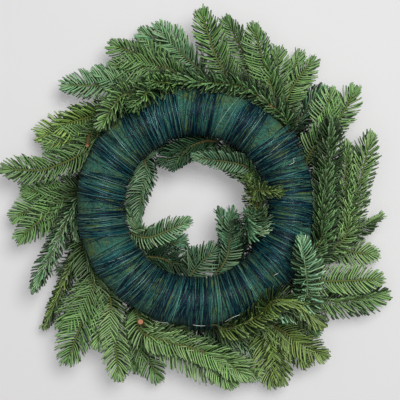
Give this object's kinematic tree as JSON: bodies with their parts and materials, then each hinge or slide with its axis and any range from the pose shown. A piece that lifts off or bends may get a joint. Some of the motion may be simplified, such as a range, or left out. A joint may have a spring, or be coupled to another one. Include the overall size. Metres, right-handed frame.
{
  "type": "advent wreath",
  "caption": "Round advent wreath of fir twigs bound with wire on a straw ring, undecorated, lying face down with its wound back up.",
  "frame": {"origin": "centre of the wreath's outline, on the surface that it lies on", "axes": "+Z through the hole, from the fir front that lies down to the wire-wound back; +Y towards the picture's top edge"},
  "size_m": [0.413, 0.4082, 0.1038],
  "materials": {
    "straw_covering": "matte",
    "lacquered_wire": "satin",
    "fir": "satin"
  },
  "bodies": {
    "root": {"ring_form": "straw_covering", "binding_wire": "lacquered_wire", "fir_twig_a01": "fir", "fir_twig_a03": "fir", "fir_twig_a05": "fir", "fir_twig_a06": "fir", "fir_twig_a07": "fir", "fir_twig_a09": "fir", "fir_twig_a10": "fir", "fir_twig_a11": "fir", "fir_twig_a13": "fir", "fir_twig_a14": "fir", "fir_twig_a15": "fir", "fir_twig_a16": "fir", "fir_twig_a17": "fir", "fir_twig_a18": "fir", "fir_twig_a19": "fir", "fir_twig_a21": "fir", "fir_twig_a22": "fir", "fir_twig_a23": "fir", "fir_twig_a24": "fir", "fir_twig_a25": "fir", "fir_twig_a26": "fir", "fir_twig_a27": "fir", "fir_twig_a28": "fir", "fir_twig_a29": "fir", "fir_twig_a30": "fir", "fir_twig_a31": "fir", "fir_twig_a32": "fir", "fir_twig_a33": "fir", "fir_twig_a34": "fir", "fir_twig_a36": "fir", "fir_twig_a37": "fir", "fir_twig_a38": "fir", "fir_twig_b01": "fir", "fir_twig_b02": "fir", "fir_twig_b03": "fir", "fir_twig_b04": "fir", "fir_twig_b05": "fir", "fir_twig_b06": "fir", "fir_twig_b07": "fir", "fir_twig_b08": "fir", "fir_twig_b09": "fir", "fir_twig_b10": "fir", "fir_twig_b11": "fir", "fir_twig_b13": "fir", "fir_twig_c01": "fir", "fir_twig_c02": "fir", "fir_twig_c03": "fir", "fir_twig_c04": "fir", "fir_twig_c05": "fir", "fir_twig_c06": "fir", "fir_twig_c07": "fir", "fir_twig_c08": "fir", "fir_twig_c09": "fir", "fir_twig_c10": "fir", "fir_twig_c11": "fir", "fir_twig_c12": "fir"}
  },
  "joints": []
}
